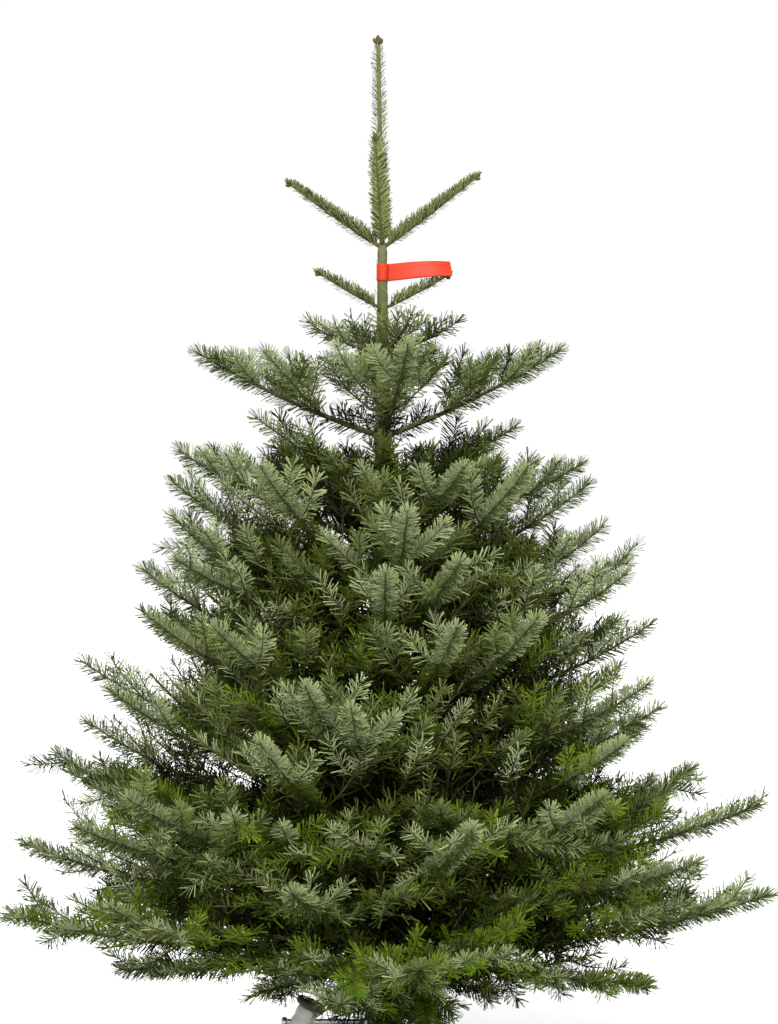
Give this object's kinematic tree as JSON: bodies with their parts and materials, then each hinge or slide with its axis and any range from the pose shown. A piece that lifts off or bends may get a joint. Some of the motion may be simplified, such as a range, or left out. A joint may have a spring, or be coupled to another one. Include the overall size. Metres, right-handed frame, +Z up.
{
  "type": "christmas tree",
  "caption": "Cut fir with whorls of boughs, dense needle foliage and a bare leader, clamped in a three-armed water stand, with a loop tag on its stem.",
  "frame": {"origin": "centre of the stand's flat underside, on the floor under the trunk", "axes": "+Z up along the trunk, -Y towards the side seen in front, +X to the right of that view"},
  "size_m": [1.3382, 1.353, 1.92],
  "materials": {
    "bark": "rough",
    "needles": "satin",
    "young_needles": "satin",
    "stand_plastic": "satin",
    "cap_rubber": "matte",
    "steel": "satin",
    "tag_tape": "satin"
  },
  "bodies": {
    "root": {"trunk": "bark", "top_shoot_1": "young_needles", "top_shoot_2": "young_needles", "top_shoot_3": "young_needles", "top_shoot_4": "young_needles", "upper_shoot_1": "young_needles", "upper_shoot_2": "young_needles", "collar_fan_1": "young_needles", "collar_fan_2": "young_needles", "collar_fan_3": "young_needles", "collar_fan_4": "young_needles", "second_fan_1": "needles", "second_fan_2": "needles", "second_fan_3": "needles", "second_fan_4": "needles", "shoulder_fan_1": "needles", "shoulder_fan_2": "needles", "third_fan_1": "needles", "third_fan_2": "needles", "third_fan_3": "needles", "third_fan_4": "needles", "fourth_fan_1": "needles", "fourth_fan_2": "needles", "fourth_fan_3": "needles", "fourth_fan_4": "needles", "fourth_fan_5": "needles", "fifth_fan_1": "needles", "fifth_fan_2": "needles", "fifth_fan_3": "needles", "fifth_fan_4": "needles", "fifth_fan_5": "needles", "sixth_fan_1": "needles", "sixth_fan_2": "needles", "sixth_fan_3": "needles", "sixth_fan_4": "needles", "sixth_fan_5": "needles", "seventh_fan_1": "needles", "seventh_fan_2": "needles", "seventh_fan_3": "needles", "seventh_fan_4": "needles", "seventh_fan_5": "needles", "lowest_fan_1": "needles", "lowest_fan_2": "needles", "lowest_fan_3": "needles", "lowest_fan_4": "needles", "lowest_fan_5": "needles", "leader_needles": "young_needles", "lowest_bough_1": "bark", "lowest_bough_2": "bark", "lowest_bough_3": "bark", "lowest_bough_4": "bark", "lowest_bough_5": "bark", "stand": "stand_plastic", "arm_cap_1": "cap_rubber", "clamp_screw_1": "steel", "arm_cap_2": "cap_rubber", "clamp_screw_2": "steel", "arm_cap_3": "cap_rubber", "clamp_screw_3": "steel", "height_tag": "tag_tape"}
  },
  "joints": []
}
